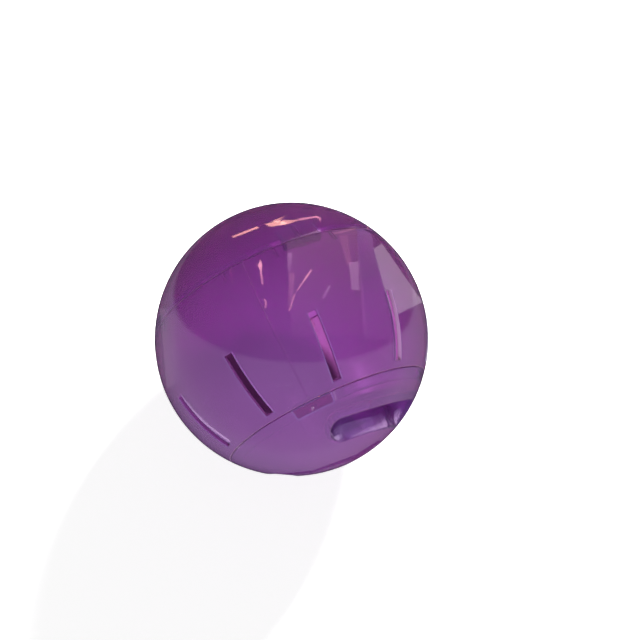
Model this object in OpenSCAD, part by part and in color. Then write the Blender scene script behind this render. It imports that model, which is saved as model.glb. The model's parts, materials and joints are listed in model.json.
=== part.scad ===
// Hamster ball: a slotted middle shell between a pull-off lid and a plain back shell.
// The origin is the ball's centre. The lid faces -Y, and the back shell lies on the +Y side.
// All sizes are in millimetres.

/* [Ball] */
// Outer diameter of the closed ball
ball_d = 127; // [116:1:150]
// Thickness of the plastic
wall = 2; // [1.6:0.1:2.6]

/* [Seams] */
// Height of the lid from its seam to its crown
lid_h = 22.7; // [19:0.1:26]
// Height of the back shell from its seam to its crown
back_h = 41.3; // [36:0.1:47]
// Open gap along each seam
seam_gap = 0.25; // [0.2:0.05:0.4]
// Length of the tongue that runs under the cover beyond each seam
lap_len = 2.6; // [2:0.2:4]
// Gap between a tongue and the cover over it
lap_gap = 0.3; // [0.25:0.05:0.4]

/* [Air slots] */
// Number of air slots round the middle shell
slot_count = 10; // [6:1:14]
// Width of an air slot
slot_w = 3.8; // [3:0.2:5]
// Length of an air slot along the ball
slot_len = 30.4; // [20:0.4:34]
// Distance from the lid's seam down to the slots, along the ball's axis
slot_edge = 2.4; // [2:0.2:5]
// Turn of the first slot about the ball's axis
slot_turn = 14.3; // [0:0.1:36]

/* [Snap lugs] */
// Number of lugs on each cover
lug_count = 4; // [3:1:4]
// Width of a lug
lug_w = 17; // [12:0.5:20]
// Thickness of a lug
lug_t = 2.4; // [1.6:0.1:3]
// How far a lug reaches past the seam
lug_drop = 2.2; // [1.5:0.1:3]
// Gap between a lug and the rim that it drops into
lug_play = 0.35; // [0.3:0.05:0.5]
// Width of the notch that a lug stands in
notch_w = 27; // [24:0.5:30]
// Width of the stiffening rib behind a lug
lug_rib_w = 1.6; // [1.2:0.1:2.4]
// Depth of the stiffening rib behind a lug
lug_rib_d = 1.2; // [0.8:0.1:2]
// Turn of the lid's first lug about the ball's axis
lid_lug_turn = 11.9; // [0:0.1:90]
// Turn of the back shell's first lug about the ball's axis
back_lug_turn = 75; // [0:0.5:90]

/* [Stop ribs] */
// Width of a stop rib inside the back rim
stop_w = 1.2; // [0.8:0.1:2]
// Height of a stop rib above the inner wall
stop_t = 1; // [0.6:0.1:1.4]
// Length of a stop rib along the ball's axis
stop_len = 5; // [3:0.2:7]
// Distance from a notch's middle to the rib that stands away from it
stop_reach = 34; // [30:0.5:38]

/* [Finger pockets] */
// Width of a pocket at its floor
pocket_w = 10.8; // [9:0.2:13]
// Length of a pocket between the middles of its round ends
pocket_len = 41; // [30:0.5:44]
// Radius that a pocket bends round
pocket_bend = 38; // [34:0.5:46]
// Distance from the lid's edge to a pocket's floor
pocket_rim = 12.7; // [11:0.1:15]
// Height of a pocket's floor in front of the seam
pocket_floor = 5.7; // [4.5:0.1:6.5]
// Slope of a pocket's walls in degrees
pocket_draft = 6; // [3:0.5:9]
// Turn of the first pocket about the ball's axis
pocket_turn = 52.5; // [0:0.5:90]

/* [Mould line] */
// Width of the fine line that the mould's split leaves
split_w = 0.4; // [0.2:0.1:0.8]
// Depth of the mould line
split_depth = 0.15; // [0.1:0.05:0.3]
// Turn of the mould line about the ball's axis
split_turn = 102; // [0:0.5:180]

/* [Hidden] */
$fn = 96;
// How far a cutting shape runs past what it cuts
overrun = 2;
// How much fuller a pocket's round ends are than the bend between them
pocket_swell = 0.05;
purple = [0.47, 0.24, 0.54, 0.75];
deep_purple = [0.40, 0.18, 0.48, 0.75];
light_purple = [0.55, 0.33, 0.62, 0.75];
ball_r = ball_d / 2;
inner_r = ball_r - wall;
// Distances of the two seams from the ball's centre
lid_seam = ball_r - lid_h;
back_seam = ball_r - back_h;
// At a seam the tongue and the cover's skin share the wall, with the lap gap between them
skin_t = (wall - lap_gap) / 2;
tongue_r = inner_r + skin_t;
skin_r = ball_r - skin_t;
lid_rim_r = ring_r(ball_r, lid_seam);
slot_top_angle = asin((lid_seam - slot_edge) / ball_r);
slot_low_angle = slot_top_angle - arc_angle(slot_len, ball_r);
pocket_mid = lid_rim_r - pocket_rim - pocket_w / 2;
pocket_half_angle = arc_angle(pocket_len, pocket_bend) / 2;
pocket_base = lid_seam + pocket_floor;

// Radius of the circle at height h on a sphere of radius r
function ring_r(r, h) = sqrt(r * r - h * h);
// Angle in degrees of an arc of length a on a circle of radius r
function arc_angle(a, r) = a / r * 180 / PI;
// Outer radius of the lugs that drop into the rim at a seam
function lug_r(seam) = ring_r(inner_r, seam) - lug_play;

// The shapes below are drawn about Z, with the lid on top, and then turned to face -Y
module facing_front() rotate([90, 0, 0]) children();

// The part of a ball of radius r between two heights
module ball_slice(r, low, high) {
    intersection() {
        sphere(r = r);
        translate([0, 0, low]) cylinder(r = ball_r + overrun, h = high - low);
    }
}

// The wall of the ball between two heights, from radius r_in to radius r_out
module wall_slice(r_in, r_out, low, high) {
    difference() {
        ball_slice(r_out, low, high);
        sphere(r = r_in);
    }
}

// A bar of width w from the axis outwards along X, between two heights
module spoke(w, low, high, start = 0) {
    translate([start, -w / 2, low]) cube([ball_r + overrun - start, w, high - low]);
}

module around(count, first) {
    for (i = [0 : count - 1]) rotate([0, 0, first + i * 360 / count]) children();
}

// The tongue that runs under a cover, with a notch for each of the cover's lugs
module tongue(seam, first_lug) {
    difference() {
        ball_slice(tongue_r, seam - wall, seam + lap_len);
        around(lug_count, first_lug) spoke(notch_w, seam, seam + lap_len + overrun);
    }
}

// One lug: a root that thickens the cover's edge, a foot past the seam and a rib behind both
module lug(seam) {
    foot = seam - lug_drop;
    back_r = lug_r(seam) - lug_t;
    root_top = ring_r(skin_r, back_r);
    edge = seam + seam_gap;
    difference() {
        intersection() {
            sphere(r = skin_r + skin_t / 2);
            spoke(lug_w, foot, root_top);
            union() {
                translate([0, 0, edge]) cylinder(r = ball_r, h = root_top - edge);
                translate([0, 0, foot]) cylinder(r = lug_r(seam), h = root_top - foot);
            }
        }
        translate([0, 0, foot - overrun]) cylinder(r = back_r, h = root_top - foot + 2 * overrun);
    }
    intersection() {
        sphere(r = tongue_r);
        translate([back_r - lug_rib_d, -lug_rib_w / 2, foot])
            cube([lug_rib_d + lug_t / 2, lug_rib_w, ball_r - foot]);
    }
}

// A cover that closes the ball beyond a seam: a cap with a thinned edge and its lugs
module cover(seam, first_lug) {
    difference() {
        wall_slice(inner_r, ball_r, seam + seam_gap, ball_r + overrun);
        ball_slice(skin_r, seam - overrun, seam + lap_len + lap_gap);
    }
    around(lug_count, first_lug) lug(seam);
}

// Short ribs inside the back rim: one at each end of a notch and one farther round
module stop_ribs(seam, first_lug) {
    for (y = [-notch_w / 2, notch_w / 2, stop_reach]) {
        turn = asin(y / ring_r(inner_r, seam));
        around(lug_count, first_lug + turn) intersection() {
            wall_slice(inner_r - stop_t, inner_r + skin_t / 2, seam - stop_len, seam - seam_gap);
            spoke(stop_w, seam - stop_len, seam);
        }
    }
}

// One air slot, with parallel sides and ends that point to the ball's centre
module slot_cut() {
    far = ball_r + overrun;
    rotate([90, 0, 0]) linear_extrude(height = slot_w, center = true)
        polygon([[0, 0], far * [cos(slot_low_angle), sin(slot_low_angle)],
                 far * [cos(slot_top_angle), sin(slot_top_angle)]]);
}

// The fine groove along a meridian where the two halves of the mould meet
module split_cut() {
    rotate([90, 0, 0]) difference() {
        cylinder(r = ball_r + overrun, h = split_w, center = true);
        cylinder(r = ball_r - split_depth, h = split_w + overrun, center = true);
    }
}

// A bent, round-ended block with sloping sides, w wide at its foot and standing from low to top
module bent_block(w, low, top) {
    h = top - low;
    grow = h * tan(pocket_draft);
    translate([pocket_mid - pocket_bend, 0, low]) {
        rotate([0, 0, -pocket_half_angle]) rotate_extrude(angle = 2 * pocket_half_angle)
            polygon([[pocket_bend - w / 2, 0], [pocket_bend + w / 2, 0],
                     [pocket_bend + w / 2 + grow, h], [pocket_bend - w / 2 - grow, h]]);
        for (side = [-1, 1]) rotate([0, 0, side * pocket_half_angle])
            translate([pocket_bend, 0, 0])
                cylinder(r1 = w / 2 + pocket_swell, r2 = w / 2 + grow + pocket_swell, h = h);
    }
}

module middle_shell() {
    color(purple) facing_front() {
        difference() {
            union() {
                ball_slice(ball_r, -back_seam, lid_seam);
                tongue(lid_seam, lid_lug_turn);
                mirror([0, 0, 1]) tongue(back_seam, back_lug_turn);
            }
            sphere(r = inner_r);
            around(slot_count, slot_turn) slot_cut();
            rotate([0, 0, split_turn]) split_cut();
        }
        mirror([0, 0, 1]) stop_ribs(back_seam, back_lug_turn);
    }
}

module lid() {
    color(light_purple) facing_front() difference() {
        union() {
            cover(lid_seam, lid_lug_turn);
            around(2, pocket_turn) intersection() {
                bent_block(pocket_w + 2 * wall, pocket_base - wall, ball_r);
                sphere(r = skin_r);
            }
        }
        around(2, pocket_turn) bent_block(pocket_w, pocket_base, ball_r + overrun);
    }
}

module back_shell() {
    color(deep_purple) facing_front() mirror([0, 0, 1]) cover(back_seam, back_lug_turn);
}

middle_shell();
lid();
back_shell();
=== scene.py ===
# Hamster ball: its clear purple plastic, the studio round it and the camera.
import bpy
import json
import math
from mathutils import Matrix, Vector

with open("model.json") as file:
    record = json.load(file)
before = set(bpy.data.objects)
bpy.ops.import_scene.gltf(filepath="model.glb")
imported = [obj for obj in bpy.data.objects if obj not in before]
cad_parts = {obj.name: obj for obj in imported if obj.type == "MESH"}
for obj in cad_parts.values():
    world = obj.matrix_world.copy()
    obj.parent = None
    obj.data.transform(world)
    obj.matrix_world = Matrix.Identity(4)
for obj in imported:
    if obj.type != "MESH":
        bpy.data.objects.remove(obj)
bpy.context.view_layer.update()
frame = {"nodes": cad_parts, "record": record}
scene = bpy.context.scene
nodes = frame["nodes"]
pieces = nodes.values()
shells = [nodes["middle_shell"], nodes["back_shell"]]

# The ball's radius, from the frame. All lengths here are in metres
ball_r = -frame["record"]["mounts"][0]["pos_m"][2]

# Camera: the angles of the photograph, in degrees, the distance from the ball's middle, and the
# nearest and the farthest that the camera sees
view_azimuth, view_elevation = -24.2, 72.2
view_distance = 7 * ball_r
view_near, view_far = 0.01, 20
# In the photograph's frame, in pixels: its side, the ball's middle and the ball's radius
frame_px = 640
ball_px = (291.5, 339.2)
ball_radius_px = 137

# Plastic: the share of red, green and blue that its surface lets through
skin_tint = (0.37, 0.105, 0.51)
skin_tint_deep = (0.34, 0.092, 0.47)
# Cut edges: first their pale, lit tint, then its darker copy, painted shade for the slots' sides
# turned away from the light
cut_tint = (0.68, 0.36, 0.74)
slot_shade_tint = (0.40, 0.10, 0.50)
lap_tint = (0.90, 0.80, 0.96)
lug_tint = (0.22, 0.03, 0.16)
# The finger pockets' darker, bluer tint is painted shade
pocket_shade_tint = (0.29, 0.09, 0.50)
# The wall's thickness, the share that its depth lets through, and the smallest part that the
# colour of this depth gets in the shader
wall = 0.002
depth_tint = (0.86, 0.75, 0.64)
depth_colour_least = 0.05
# Painted highlights: how the skin's tint is lightened along a lug's edges and on a slot's rim
lug_edge_highlight = (1.05, 1.8, 1.3)
slot_rim_highlight = (1.15, 1.9, 1.35)
# How dull the surface is outside, on the ball's inner face and on cut edges, and how far the
# fine lines of the plastic's flow take this down and up
haze, inner_haze, cut_haze = 0.05, 0.25, 0.25
flow_haze = (0.8, 1.3)
# The share of the surface that lets no light through: on the skin, on cut edges and on the lugs
solid_share, cut_solid_share, lug_solid_share = 0.20, 0.38, 0.35
# How strongly the plastic bends light, and how strongly the faces inside a lap do
ior, lap_ior = 1.5, 1.02
# Slow changes of tint, and the lines of the flow: the scale, the detail and the stretch along x,
# y and z of a noise, and the two of its values that become 0 and 1
cloud_noise = (22, 3, (1, 1, 1), 0.35, 0.65)
flow_noise = (260, 2, (1, 0.06, 1), 0.3, 0.7)
# The radius of the round look of edges on the two shells and on the lid, and its quality
shell_lips, lid_lips = 0.0005, 0.001
lip_samples = 4

# How squarely a face looks out of the ball, as a share: what lies between cut edges and the skin,
# what a lug's broad faces have at the least and at the most, and what a pocket's walls stay under
skin_facing = (0.66, 0.74)
lug_facing = (0.6, 0.97)
pocket_facing = 0.95
# How far a lug's broad faces may look along the axis, as a share
lug_lean = 0.05
# Outside this radius lies the outer skin, and between the next two the inner face's haze begins
outer_skin_r = ball_r - wall / 4
inner_haze_r = (ball_r - wall * 0.8, ball_r - wall * 0.9)
# The two seams along Y, how far from its seam a lap begins and ends, and the radii between which
# its faces lie
lid_seam, back_seam = -0.0408, 0.0222
lap_start, lap_end = 0.0003, 0.003
lap_radii = (0.0616, 0.0627)
# The distance from the axis at which the crowns' slivers end
crown_r = 0.004
# How many lugs each cover has, and for the lid's and then the back shell's: the turn of the
# first in degrees, half the turn that one takes up, the places along Y between which the
# cover's skin lies over them, and the factor on the skin's tint there: painted shade over the
# lid's lugs, painted light over the back shell's
lug_count = 4
lug_shade_zones = (
    (11.9, 11, -0.0453, -0.04105, (0.70, 0.40, 0.66)),
    (75, 8.8, 0.02245, 0.0307, (1.15, 1.4, 1.15)),
)
# How wide a lug's painted edge highlight is along Y, and how much it takes off the turn's cosine
lug_edge, lug_edge_cosine = 0.0004, 0.03
# The air slots: the turn of the first in degrees, their number, half their width and the places
# along Y between which they lie, and how wide the painted highlights on their rims are
slot_turn, slot_count, slot_half, slot_from, slot_to = 14.3, 10, 0.0019, -0.0384, -0.0108
slot_rim = 0.0005
# Up to this turn, in degrees, the slots' sides keep the pale, lit cut tint; past it they get
# painted shade
lit_turn = 68
# In front of this place along Y the faces that don't follow the ball belong to the pockets
pocket_front = -0.0442
# The pocket wall that the camera sees: the x and z of its bend, its radius and its slope
pocket_bend, pocket_wall_r, pocket_draft = Vector((-0.0045, 0, -0.0059)), 0.0316, 6
# Takes a place down to the plane across the lid's axis
level = Vector((1, 0, 1))

# Floor: its side, its grey, how dull it is, and how much it glows for the ball and the camera
floor_side = 6
floor_grey = 0.8
floor_haze = 0.8
floor_glow, floor_glow_seen = 0.15, 0.8
# World: how its backdrop and ceiling look, and how steeply one looks up where they meet
backdrop_light = (0.9, 0.9, 0.9)
ceiling_light = (0.1, 0.1, 0.1)
ceiling_rise = (0.2, 0.5)
# Which way the studio's table lies, how its gloss looks above and below the table's edge, how
# soft this edge is, and where the table fades behind the ball
studio_up = Vector((0.367, 0.701, 0.611))
room_gloss = (0.05, 0.04, 0.06)
table_gloss = (0.8, 0.75, 0.9)
table_edge_rise = (0.0, 0.06)
table_fade = (0.35, 0.95)
# How far off the lamps and the cards stand, and how many steps a card has each way
lamp_distance = 0.9
card_distance = 1.2
card_steps = 8


def direction(azimuth, elevation):
    """The unit vector from the ball towards a viewer at these angles, in degrees."""
    a, e = math.radians(azimuth), math.radians(elevation)
    return Vector((math.sin(a) * math.cos(e), -math.cos(a) * math.cos(e), math.sin(e)))


def link(obj):
    scene.collection.objects.link(obj)
    return obj


# Camera
to_camera = direction(view_azimuth, view_elevation)
camera_turn = (-to_camera).to_track_quat("-Z", "Y")
# Half the ball's width in the picture, over the distance
ball_tangent = math.tan(math.asin(ball_r / view_distance))


def make_camera():
    camera = link(bpy.data.objects.new("camera", bpy.data.cameras.new("camera")))
    camera.location = to_camera * view_distance
    camera.rotation_mode = "QUATERNION"
    camera.rotation_quaternion = camera_turn
    frame_tangent = ball_tangent * (frame_px / 2) / ball_radius_px
    camera.data.lens = camera.data.sensor_width / 2 / frame_tangent
    camera.data.shift_x = (frame_px / 2 - ball_px[0]) / frame_px
    camera.data.shift_y = (ball_px[1] - frame_px / 2) / frame_px
    camera.data.clip_start, camera.data.clip_end = view_near, view_far
    scene.camera = camera


def mirrored(right, up, in_pocket):
    """Where a view line is mirrored, the way the surface looks there, and the way it goes on.

    The line is given by its place in the picture, in ball radii from the ball's middle. It is
    mirrored by the ball or, in_pocket, by the bent wall of the upper finger pocket."""
    ray = (camera_turn @ Vector((right * ball_tangent, up * ball_tangent, -1))).normalized()
    start = to_camera * view_distance
    across, along, radius = start, ray, ball_r
    if in_pocket:
        across, along, radius = (start - pocket_bend) * level, ray * level, pocket_wall_r
    nearest = -across.dot(along) / along.length_squared
    depth = nearest * nearest - (across.length_squared - radius * radius) / along.length_squared
    reach = nearest - math.sqrt(max(depth, 0))
    normal = (across + along * reach).normalized()
    if in_pocket:
        normal = (normal - Vector((0, math.tan(math.radians(pocket_draft)), 0))).normalized()
    return start + ray * reach, normal, ray.reflect(normal)


# Shader nodes
def put(tree, value, slot):
    """Gives an input a socket, a number, or the three numbers of a colour or a vector."""
    if isinstance(value, bpy.types.NodeSocket):
        tree.links.new(value, slot)
    else:
        slot.default_value = (*value, 1) if slot.type == "RGBA" else value


def ramp(tree, value, low, high):
    """A value spread over 0 to 1 between low and high."""
    node = tree.nodes.new("ShaderNodeMapRange")
    node.inputs["From Min"].default_value, node.inputs["From Max"].default_value = low, high
    tree.links.new(value, node.inputs["Value"])
    return node.outputs["Result"]


def mixed(tree, factor, first, second, kind="RGBA"):
    """One colour, number or vector turning into another. Each is a socket or plain numbers."""
    node = tree.nodes.new("ShaderNodeMix")
    node.data_type = kind
    for name, value in (("Factor", factor), ("A", first), ("B", second)):
        put(tree, value, node.inputs[name])
    return node.outputs["Result"]


def mixed_value(tree, factor, first, second):
    return mixed(tree, factor, first, second, "FLOAT")


def shaded(tree, where, colour, shade):
    """A colour that is multiplied by shade where this mask holds."""
    result = mixed(tree, where, colour, shade)
    result.node.blend_type = "MULTIPLY"
    return result


def maths(tree, operation, *values):
    node = tree.nodes.new("ShaderNodeMath")
    node.operation = operation
    for slot, value in zip(node.inputs, values):
        put(tree, value, slot)
    return node.outputs["Value"]


def vector_maths(tree, operation, *values):
    node = tree.nodes.new("ShaderNodeVectorMath")
    node.operation = operation
    for slot, value in zip(node.inputs, values):
        put(tree, value, slot)
    return node.outputs["Value" if operation in ("LENGTH", "DOT_PRODUCT") else "Vector"]


def above(tree, value, low):
    return maths(tree, "GREATER_THAN", value, low)


def below(tree, value, high):
    return maths(tree, "LESS_THAN", value, high)


def both(tree, *masks):
    """The mask that holds where all of these hold."""
    whole = masks[0]
    for mask in masks[1:]:
        whole = maths(tree, "MULTIPLY", whole, mask)
    return whole


def between(tree, value, low, high):
    return both(tree, above(tree, value, low), below(tree, value, high))


def noise(tree, place, scale, detail, stretch, low, high):
    node = tree.nodes.new("ShaderNodeTexNoise")
    node.inputs["Scale"].default_value = scale
    node.inputs["Detail"].default_value = detail
    tree.links.new(vector_maths(tree, "MULTIPLY", place, stretch), node.inputs["Vector"])
    return ramp(tree, node.outputs["Fac"], low, high)


# Materials
class Spot:
    """Where a point of the plastic lies and how its face stands to the ball, as sockets."""

    def __init__(self, tree):
        self.place = tree.nodes.new("ShaderNodeTexCoord").outputs["Object"]
        parts = tree.nodes.new("ShaderNodeSeparateXYZ")
        tree.links.new(self.place, parts.inputs["Vector"])
        self.y = parts.outputs["Y"]
        self.turn = maths(tree, "ARCTAN2", parts.outputs["Z"], parts.outputs["X"])
        # How far it is from the ball's middle and from the lid's axis
        self.radius = vector_maths(tree, "LENGTH", self.place)
        self.ring = vector_maths(tree, "LENGTH", vector_maths(tree, "MULTIPLY", self.place, level))
        # How squarely its face looks out of the ball or, below 0, into it
        self.outwards = vector_maths(tree, "NORMALIZE", self.place)
        self.normal = tree.nodes.new("ShaderNodeNewGeometry").outputs["True Normal"]
        self.look = vector_maths(tree, "DOT_PRODUCT", self.outwards, self.normal)
        self.facing = maths(tree, "ABSOLUTE", self.look)
        # Where the skin is, what of it lies outside, where the slots are, and the laps' faces
        self.skin = ramp(tree, self.facing, *skin_facing)
        self.outer = above(tree, self.radius, outer_skin_r)
        self.slots = between(tree, self.y, slot_from - slot_rim, slot_to + slot_rim)
        laps = maths(tree, "ADD",
                     between(tree, self.y, lid_seam - lap_end, lid_seam - lap_start),
                     between(tree, self.y, back_seam + lap_start, back_seam + lap_end))
        self.lapped = both(tree, laps, between(tree, self.radius, *lap_radii))


def shader_of(name):
    material = bpy.data.materials.new(name)
    material.use_nodes = True
    return material, material.node_tree.nodes["Principled BSDF"]


def base_tint(tree, spot):
    """The skin's slowly changing tint, and that of cut edges and of the faces inside a lap. The
    slots' sides past lit_turn get painted shade.
    """
    cloud = noise(tree, spot.place, *cloud_noise)
    # Painted shade: the slots' sides past lit_turn take the darker slot tint
    shaded_slot_sides = both(tree, spot.slots, above(tree, spot.turn, math.radians(lit_turn)))
    cut = mixed(tree, shaded_slot_sides, cut_tint, slot_shade_tint)
    colour = mixed(tree, spot.skin, cut, mixed(tree, cloud, skin_tint, skin_tint_deep))
    return mixed(tree, spot.lapped, colour, lap_tint)


def with_lug_shade(tree, spot, colour):
    """Paints the skin over each lug darker on the lid and lighter on the back shell, as shade and
    light, with painted highlights along its edges.
    """
    for first, half, low, high, shade in lug_shade_zones:
        width = math.cos(math.radians(half * lug_count))
        turn = maths(tree, "SUBTRACT", spot.turn, math.radians(first))
        across = maths(tree, "COSINE", maths(tree, "MULTIPLY", turn, lug_count))
        whole = both(tree, between(tree, spot.y, low, high), spot.outer,
                     above(tree, across, width))
        inner = both(tree, between(tree, spot.y, low + lug_edge, high - lug_edge), spot.outer,
                     above(tree, across, width + lug_edge_cosine))
        # Painted shade over the lid's lugs, painted light over the back shell's, painted
        # highlights on their edges
        colour = shaded(tree, inner, colour, shade)
        colour = shaded(tree, maths(tree, "SUBTRACT", whole, inner), colour, lug_edge_highlight)
    return colour


def with_slot_highlights(tree, spot, colour):
    """Paints pale highlights along the slots' rims."""
    turn = maths(tree, "SUBTRACT", spot.turn, math.radians(slot_turn))
    turn = maths(tree, "PINGPONG", turn, math.pi / slot_count)
    off_slot = maths(tree, "MULTIPLY", spot.ring, maths(tree, "SINE", turn))
    rim = between(tree, off_slot, slot_half, slot_half + slot_rim)
    return shaded(tree, both(tree, spot.slots, rim, spot.outer), colour, slot_rim_highlight)


def base_haze(tree, spot):
    """How dull the plastic is: its flow lines outside, its inner face and its cut edges."""
    flow = noise(tree, spot.place, *flow_noise)
    rough = mixed_value(tree, flow, *[haze * change for change in flow_haze])
    rough = mixed_value(tree, ramp(tree, spot.radius, *inner_haze_r), rough, inner_haze)
    return mixed_value(tree, spot.skin, cut_haze, rough)


def lid_tints_and_pocket_shade(tree, spot):
    """Where the lid's lugs and pockets are, with their tint and the share that looks solid. The
    pockets' darker, bluer tint is painted shade.
    """
    pocket = both(tree, below(tree, spot.y, pocket_front), below(tree, spot.facing, pocket_facing))
    # A lug's broad faces run along the axis, and a pocket's walls lean
    lean = maths(tree, "ABSOLUTE", vector_maths(tree, "DOT_PRODUCT", spot.normal, (0, 1, 0)))
    lug = both(tree, between(tree, spot.facing, *lug_facing), below(tree, lean, lug_lean))
    return (lug, lug_tint, lug_solid_share), (pocket, pocket_shade_tint, solid_share)


def shading_normal(tree, spot, lips):
    """The way a face looks, with round edges of radius lips.

    The mesh has slivers round the two crowns, where the ball's own shape gives the shading."""
    bevel = tree.nodes.new("ShaderNodeBevel")
    bevel.samples = lip_samples
    bevel.inputs["Radius"].default_value = lips
    side = maths(tree, "SIGN", spot.look)
    ball_normal = vector_maths(tree, "MULTIPLY", spot.outwards, side)
    crown = below(tree, spot.ring, crown_r)
    return mixed(tree, crown, bevel.outputs["Normal"], ball_normal, "VECTOR")


def depth_of_plastic(tree):
    """The volume takes up a share of the light over each wall's thickness."""
    node = tree.nodes.new("ShaderNodeVolumeAbsorption")
    lost = [-math.log(tint) / wall for tint in depth_tint]
    density = max(lost) / (1 - depth_colour_least)
    node.inputs["Density"].default_value = density
    node.inputs["Color"].default_value = (*[1 - share / density for share in lost], 1)
    return node.outputs["Volume"]


def clear_plastic(name, lips, is_lid=False):
    """Tinted see-through moulded plastic, dull on its cut edges. Its colour holds painted shade on
    some slot sides, over the lid's lugs and in its pockets, painted light over the back shell's
    lugs, and painted highlights on lug edges and slot rims.

    The look of a round edge of radius lips is put on every edge."""
    material, shader = shader_of(name)
    tree = material.node_tree
    spot = Spot(tree)
    colour = with_slot_highlights(tree, spot, with_lug_shade(tree, spot, base_tint(tree, spot)))
    clear = mixed_value(tree, spot.skin, 1 - cut_solid_share, 1 - solid_share)
    # The faces that meet inside a lap are pressed together, so light goes straight through
    clear = mixed_value(tree, spot.lapped, clear, 1)
    rough = base_haze(tree, spot)
    # The lid's lug faces take their own tint, and the pockets take painted shade
    for part, tint, share in lid_tints_and_pocket_shade(tree, spot) if is_lid else ():
        colour = mixed(tree, part, colour, tint)
        clear = mixed_value(tree, part, clear, 1 - share)
        rough = mixed_value(tree, part, rough, haze)
    tree.links.new(colour, shader.inputs["Base Color"])
    tree.links.new(clear, shader.inputs["Transmission Weight"])
    tree.links.new(rough, shader.inputs["Roughness"])
    # The input's own value holds where a link can't be followed
    shader.inputs["IOR"].default_value = ior
    tree.links.new(mixed_value(tree, spot.lapped, ior, lap_ior), shader.inputs["IOR"])
    tree.links.new(shading_normal(tree, spot, lips), shader.inputs["Normal"])
    tree.links.new(depth_of_plastic(tree), tree.nodes["Material Output"].inputs["Volume"])
    return material


def dress(node, material):
    mesh = nodes[node].data
    mesh.materials.clear()
    mesh.materials.append(material)


# Studio
def make_floor():
    bpy.ops.mesh.primitive_plane_add(size=floor_side, location=(0, 0, -ball_r))
    floor = bpy.context.object
    floor.name = "floor"
    material, shader = shader_of("floor")
    tree = material.node_tree
    shader.inputs["Base Color"].default_value = (floor_grey, floor_grey, floor_grey, 1)
    shader.inputs["Roughness"].default_value = floor_haze
    shader.inputs["Specular IOR Level"].default_value = 0
    shader.inputs["Emission Color"].default_value = (1, 1, 1, 1)
    seen = tree.nodes.new("ShaderNodeLightPath").outputs["Is Camera Ray"]
    glow = mixed_value(tree, seen, floor_glow, floor_glow_seen)
    tree.links.new(glow, shader.inputs["Emission Strength"])
    floor.data.materials.append(material)
    floor.visible_glossy = False
    return floor


def make_world():
    """A pale backdrop under a dim ceiling. In gloss there is a pale table under a dim room."""
    world = bpy.data.worlds.new("studio")
    scene.world = world
    world.use_nodes = True
    tree = world.node_tree
    rays = tree.nodes.new("ShaderNodeLightPath").outputs
    place = tree.nodes.new("ShaderNodeTexCoord").outputs["Generated"]

    def rise(way, low, high):
        """From 0 to 1 as one looks this way, between these two shares."""
        return ramp(tree, vector_maths(tree, "DOT_PRODUCT", place, way), low, high)

    around = mixed(tree, rise((0, 0, 1), *ceiling_rise), backdrop_light, ceiling_light)
    table = mixed(tree, rise(studio_up, *table_edge_rise), table_gloss, room_gloss)
    table = mixed(tree, rise(-to_camera, *table_fade), table, room_gloss)
    mirrored_only = maths(tree, "SUBTRACT", rays["Is Glossy Ray"], rays["Is Transmission Ray"])
    mirrored_only.node.use_clamp = True
    colour = mixed(tree, mirrored_only, around, table)
    colour = mixed(tree, rays["Is Camera Ray"], colour, backdrop_light)
    tree.links.new(colour, tree.nodes["Background"].inputs["Color"])


def shows_on(obj, lit):
    """Lets a lamp or card shine on these objects alone."""
    group = bpy.data.collections.new(obj.name + "_shows_on")
    for target in lit:
        group.objects.link(target)
    obj.light_linking.receiver_collection = group


def soft_box(name, azimuth, elevation, size, power, lit):
    """A square lamp that faces the ball, stays out of its gloss and lights these objects alone."""
    lamp = link(bpy.data.objects.new(name, bpy.data.lights.new(name, "AREA")))
    lamp.data.size = size
    lamp.data.energy = power
    towards = direction(azimuth, elevation)
    lamp.location = towards * lamp_distance
    lamp.rotation_mode = "QUATERNION"
    lamp.rotation_quaternion = towards.to_track_quat("Z", "Y")
    lamp.visible_glossy = lamp.visible_transmission = False
    shows_on(lamp, lit)


def shine(normal, way):
    """The share of light that plastic mirrors this way."""
    cosine = abs(way.dot(normal))
    g = math.sqrt(ior * ior - 1 + cosine * cosine)
    ratio = (cosine * (g + cosine) - 1) / (cosine * (g - cosine) + 1)
    return 0.5 * ((g - cosine) / (g + cosine)) ** 2 * (1 + ratio * ratio)


def card_mesh(name, colour, near, far, corners, in_pocket):
    """The card's grid out in the studio, with the light of each of its points."""
    a, b, c, d = [Vector(corner) for corner in corners]
    row = card_steps + 1
    points, faces, light = [], [], []
    for i in range(row):
        for j in range(row):
            s, t = i / card_steps, j / card_steps
            point, normal, way = mirrored(*a.lerp(b, s).lerp(d.lerp(c, s), t), in_pocket)
            if i and j:
                n = len(points)
                faces.append((n, n - 1, n - row - 1, n - row))
            points.append(point + way * card_distance)
            gain = (near + (far - near) * t) / shine(normal, way)
            light += [part * gain for part in colour]
    mesh = bpy.data.meshes.new(name)
    mesh.from_pydata(points, [], faces)
    mesh.attributes.new("glow", "FLOAT_VECTOR", "POINT").data.foreach_set("vector", light)
    return mesh


def card_look(name, see_through):
    """The look of a card: it glows as its mesh says and mirrors nothing."""
    material, shader = shader_of(name)
    tree = material.node_tree
    shader.inputs["Base Color"].default_value = (0, 0, 0, 1)
    shader.inputs["Specular IOR Level"].default_value = 0
    shader.inputs["Emission Strength"].default_value = 1
    glow = tree.nodes.new("ShaderNodeAttribute")
    glow.attribute_name = "glow"
    tree.links.new(glow.outputs["Vector"], shader.inputs["Emission Color"])
    if see_through:
        added = tree.nodes.new("ShaderNodeAddShader")
        behind = tree.nodes.new("ShaderNodeBsdfTransparent")
        tree.links.new(shader.outputs["BSDF"], added.inputs[0])
        tree.links.new(behind.outputs["BSDF"], added.inputs[1])
        tree.links.new(added.outputs["Shader"], tree.nodes["Material Output"].inputs["Surface"])
    material.cycles.emission_sampling = "NONE"
    return material


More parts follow.
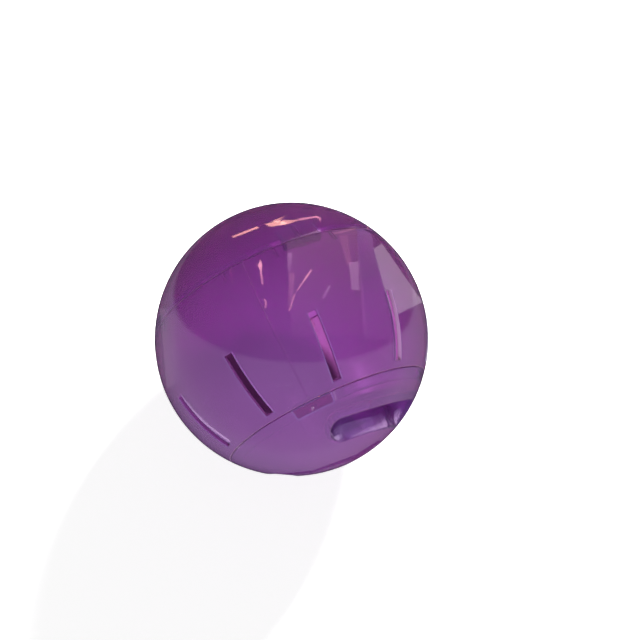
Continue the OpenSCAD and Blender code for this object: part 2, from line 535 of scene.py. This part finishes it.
def card(name, colour, near, far, *corners, lit=pieces, in_pocket=False):
    """A graded glowing card out in the studio, mirrored between four corners on the ball.

    Its light is such that the ball adds colour * near to its own at the first two corners,
    and colour * far at the last two. What lies behind it shows through it. A card in_pocket
    is mirrored by the pocket's wall, and one without a colour is a solid black flag."""
    mesh = card_mesh(name, colour or (0, 0, 0), near, far, corners, in_pocket)
    obj = link(bpy.data.objects.new(name, mesh))
    mesh.materials.append(card_look(name, see_through=bool(colour)))
    obj.visible_camera = obj.visible_diffuse = False
    obj.visible_transmission = obj.visible_shadow = False
    shows_on(obj, lit)


make_camera()
make_world()
floor = make_floor()
# The lamps: their angles in degrees, their side, their power in watts and what they light
soft_box("ground_key", 124, 33, 0.16, 33, [floor])
soft_box("top_fill", 130, 76, 0.5, 5, pieces)
soft_box("front_fill", -24, 33, 0.5, 15, pieces)

# What the ball mirrors in the photograph: a card's colour, the light that it adds at its first
# two and its last two corners, and the corners in ball radii right of and above the ball's
# middle in the picture
white, peach, pink = (1.0, 0.93, 1.0), (1.0, 0.47, 0.30), (1.0, 0.44, 0.44)
violet, deep_violet, side_violet = (0.8, 0.6, 0.9), (0.4, 0.3, 1.0), (0.68, 0.42, 0.85)
lilac, lilac_pink = (1.0, 0.7, 0.9), (1.0, 0.6, 0.7)
card("tall_box", white, 0.16, 0.14,
     (0.60, 0.66), (0.73, 0.16), (0.955, 0.27), (0.66, 0.70), lit=shells)
for details in (
    ("left_panel", white, 0.04, 0.0,
     (-0.96, 0.23), (-0.91, -0.36), (-0.80, -0.30), (-0.84, 0.20)),
    ("streak", peach, 0.7, 0.8,
     (-0.434, 0.752), (-0.428, 0.739), (-0.239, 0.813), (-0.249, 0.824)),
    ("blob", peach, 0.8, 0.7,
     (-0.196, 0.841), (-0.147, 0.821), (-0.021, 0.843), (-0.082, 0.868)),
    ("blob_spike", peach, 0.7, 0.2,
     (-0.147, 0.861), (-0.100, 0.850), (-0.072, 0.875), (-0.038, 0.905)),
    ("blob_tail", peach, 0.8, 0.6,
     (-0.085, 0.833), (-0.013, 0.846), (0.061, 0.871), (-0.066, 0.870)),
    ("hook", pink, 0.5, 0.6,
     (0.040, 0.879), (0.061, 0.868), (0.199, 0.891), (0.175, 0.899)),
    ("hook_end", pink, 0.6, 0.4,
     (0.171, 0.900), (0.190, 0.888), (0.216, 0.853), (0.213, 0.889)),
    ("drop", pink, 0.75, 0.75,
     (-0.245, 0.544), (-0.229, 0.581), (-0.211, 0.537), (-0.227, 0.498)),
    ("drop_tail", pink, 0.6, 0.3,
     (-0.232, 0.507), (-0.219, 0.510), (-0.204, 0.397), (-0.214, 0.395)),
    ("dash", pink, 0.4, 0.2,
     (-0.197, 0.298), (-0.187, 0.297), (-0.169, 0.235), (-0.177, 0.232)),
    ("stroke", pink, 0.75, 0.4,
     (0.135, 0.501), (0.154, 0.509), (0.052, 0.365), (0.031, 0.345)),
    ("stroke_tail", pink, 0.2, 0.3,
     (0.020, 0.336), (0.031, 0.332), (-0.012, 0.208), (-0.024, 0.200)),
    ("patch_a", lilac, 0.10, 0.04,
     (-0.032, 0.632), (0.008, 0.629), (-0.007, 0.495), (-0.032, 0.497)),
    ("patch_b", pink, 0.08, 0.04,
     (-0.017, 0.488), (0.024, 0.484), (0.004, 0.223), (-0.031, 0.226)),
    ("patch_c", pink, 0.04, 0.07,
     (0.346, 0.758), (0.410, 0.760), (0.439, 0.551), (0.406, 0.538)),
    ("patch_d", lilac, 0.12, 0.10,
     (0.419, 0.560), (0.489, 0.570), (0.494, 0.355), (0.438, 0.360)),
    ("seam_glint_a", lilac, 0.10, 0.22,
     (-0.011, 0.740), (-0.007, 0.729), (0.209, 0.794), (0.205, 0.806)),
    ("lug_glint_a", white, 0.12, 0.22,
     (0.263, -0.377), (0.268, -0.390), (0.305, -0.374), (0.299, -0.361)),
    ("lug_glint_b", white, 0.10, 0.06,
     (0.299, -0.364), (0.309, -0.362), (0.331, -0.440), (0.321, -0.446)),
    ("lug_glint_c", white, 0.36, 0.16,
     (0.154, -0.493), (0.165, -0.494), (0.158, -0.521), (0.148, -0.520)),
    ("lug_glint_d", white, 0.10, 0.10,
     (-0.039, -0.526), (-0.034, -0.540), (0.006, -0.542), (-0.002, -0.521)),
    ("mark", pink, 0.08, 0.02,
     (-0.450, 0.513), (-0.440, 0.514), (-0.428, 0.404), (-0.436, 0.405)),
    ("faint_stroke", lilac, 0.12, 0.08,
     (0.274, 0.395), (0.288, 0.389), (0.237, 0.299), (0.219, 0.299)),
    ("slot_glint_a", violet, 0.11, 0.23,
     (-0.812, -0.409), (-0.803, -0.401), (-0.698, -0.530), (-0.707, -0.538)),
    ("slot_glint_b", violet, 0.23, 0.27,
     (-0.707, -0.538), (-0.698, -0.530), (-0.618, -0.611), (-0.626, -0.620)),
    ("slot_glint_c", violet, 0.27, 0.30,
     (-0.626, -0.620), (-0.618, -0.611), (-0.535, -0.677), (-0.542, -0.687)),
    ("slot_glint_d", violet, 0.30, 0.32,
     (-0.542, -0.687), (-0.535, -0.677), (-0.444, -0.743), (-0.451, -0.752)),
    ("seam_glint_b", pink, 0.10, 0.2,
     (0.304, 0.771), (0.307, 0.763), (0.582, 0.814), (0.580, 0.822)),
    ("back_room", lilac_pink, 0.065, 0.008,
     (-0.033, 0.728), (0.465, 0.832), (0.560, 0.037), (0.001, 0.016)),
    ("side_room", side_violet, 0.10, 0.02,
     (0.470, 0.828), (0.575, 0.775), (0.760, 0.000), (0.530, 0.000)),
):
    card(*details)
# What the wall of the upper finger pocket mirrors
for details in (
    ("pocket_gleam", violet, 0.12, 0.35,
     (0.360, -0.704), (0.332, -0.743), (0.720, -0.688), (0.687, -0.582)),
    ("pocket_sheen", deep_violet, 0.06, 0.02,
     (0.187, -0.590), (0.170, -0.780), (0.733, -0.718), (0.751, -0.513)),
):
    card(*details, lit=[nodes["lid"]], in_pocket=True)
# The black flags that keep the ball's lower rim dark
for name, *corners in (
    ("rim_shade_a",
     (-0.087, -0.985), (-0.088, -0.995), (0.153, -0.973), (0.154, -0.959)),
    ("rim_shade_b",
     (0.154, -0.959), (0.153, -0.973), (0.477, -0.871), (0.467, -0.843)),
    ("rim_shade_c",
     (0.467, -0.843), (0.477, -0.871), (0.654, -0.746), (0.631, -0.741)),
):
    card(name, None, 0, 0, *corners)

shell_plastic = clear_plastic("shell_plastic", shell_lips)
dress("middle_shell", shell_plastic)
dress("back_shell", shell_plastic)
dress("lid", clear_plastic("lid_plastic", lid_lips, is_lid=True))
scene.view_settings.view_transform = "Standard"
